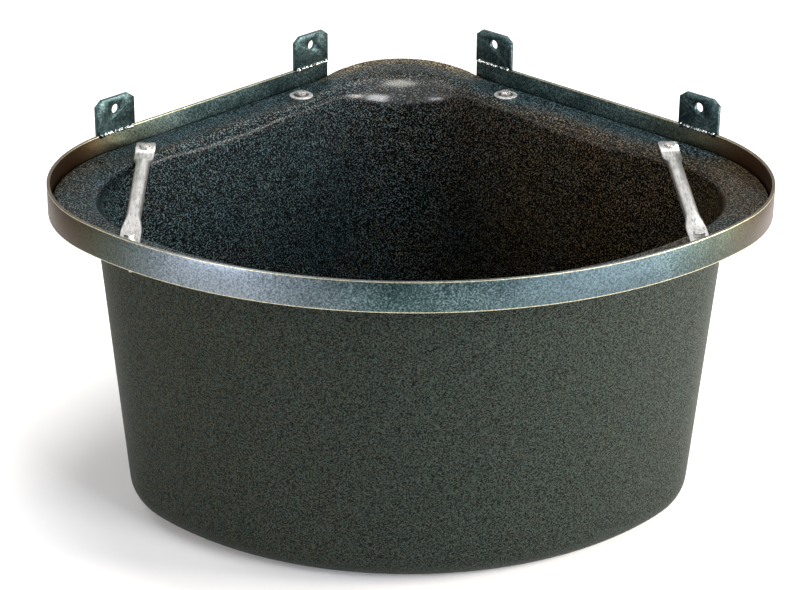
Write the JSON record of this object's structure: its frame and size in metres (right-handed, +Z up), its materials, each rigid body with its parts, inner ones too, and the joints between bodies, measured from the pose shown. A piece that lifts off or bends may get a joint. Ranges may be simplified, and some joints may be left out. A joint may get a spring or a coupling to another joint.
{
  "type": "corner manger",
  "caption": "Corner feeding manger: a deep moulded plastic tub hung in a rolled galvanised steel rim, with upright wall tabs and side bars over the tub's ends.",
  "frame": {"origin": "on the floor, under the middle of the manger's outer box", "axes": "+X across the manger to its right as seen from the front, +Y to the wall corner, +Z up"},
  "size_m": [0.706, 0.6407, 0.39],
  "materials": {
    "tub": "moulded, fine grain",
    "rim": "galvanised",
    "tab": "galvanised",
    "weld": "rough, as welded",
    "bar": "bright zinc",
    "fastener": "bright zinc"
  },
  "bodies": {
    "root": {"tub": "tub", "rim_angle": "rim", "wall_tab_left_outer": "tab", "tab_weld_left_outer": "weld", "wall_tab_left_inner": "tab", "tab_weld_left_inner": "weld", "side_bar_left": "bar", "corner_washer_left": "fastener", "corner_screw_left": "fastener", "corner_nut_left": "fastener", "bar_screw_left_rear": "fastener", "bar_nut_left_rear": "fastener", "bar_screw_left_front": "fastener", "bar_nut_left_front": "fastener", "wall_tab_right_outer": "tab", "tab_weld_right_outer": "weld", "wall_tab_right_inner": "tab", "tab_weld_right_inner": "weld", "side_bar_right": "bar", "corner_washer_right": "fastener", "corner_screw_right": "fastener", "corner_nut_right": "fastener", "bar_screw_right_rear": "fastener", "bar_nut_right_rear": "fastener", "bar_screw_right_front": "fastener", "bar_nut_right_front": "fastener"}
  },
  "joints": []
}
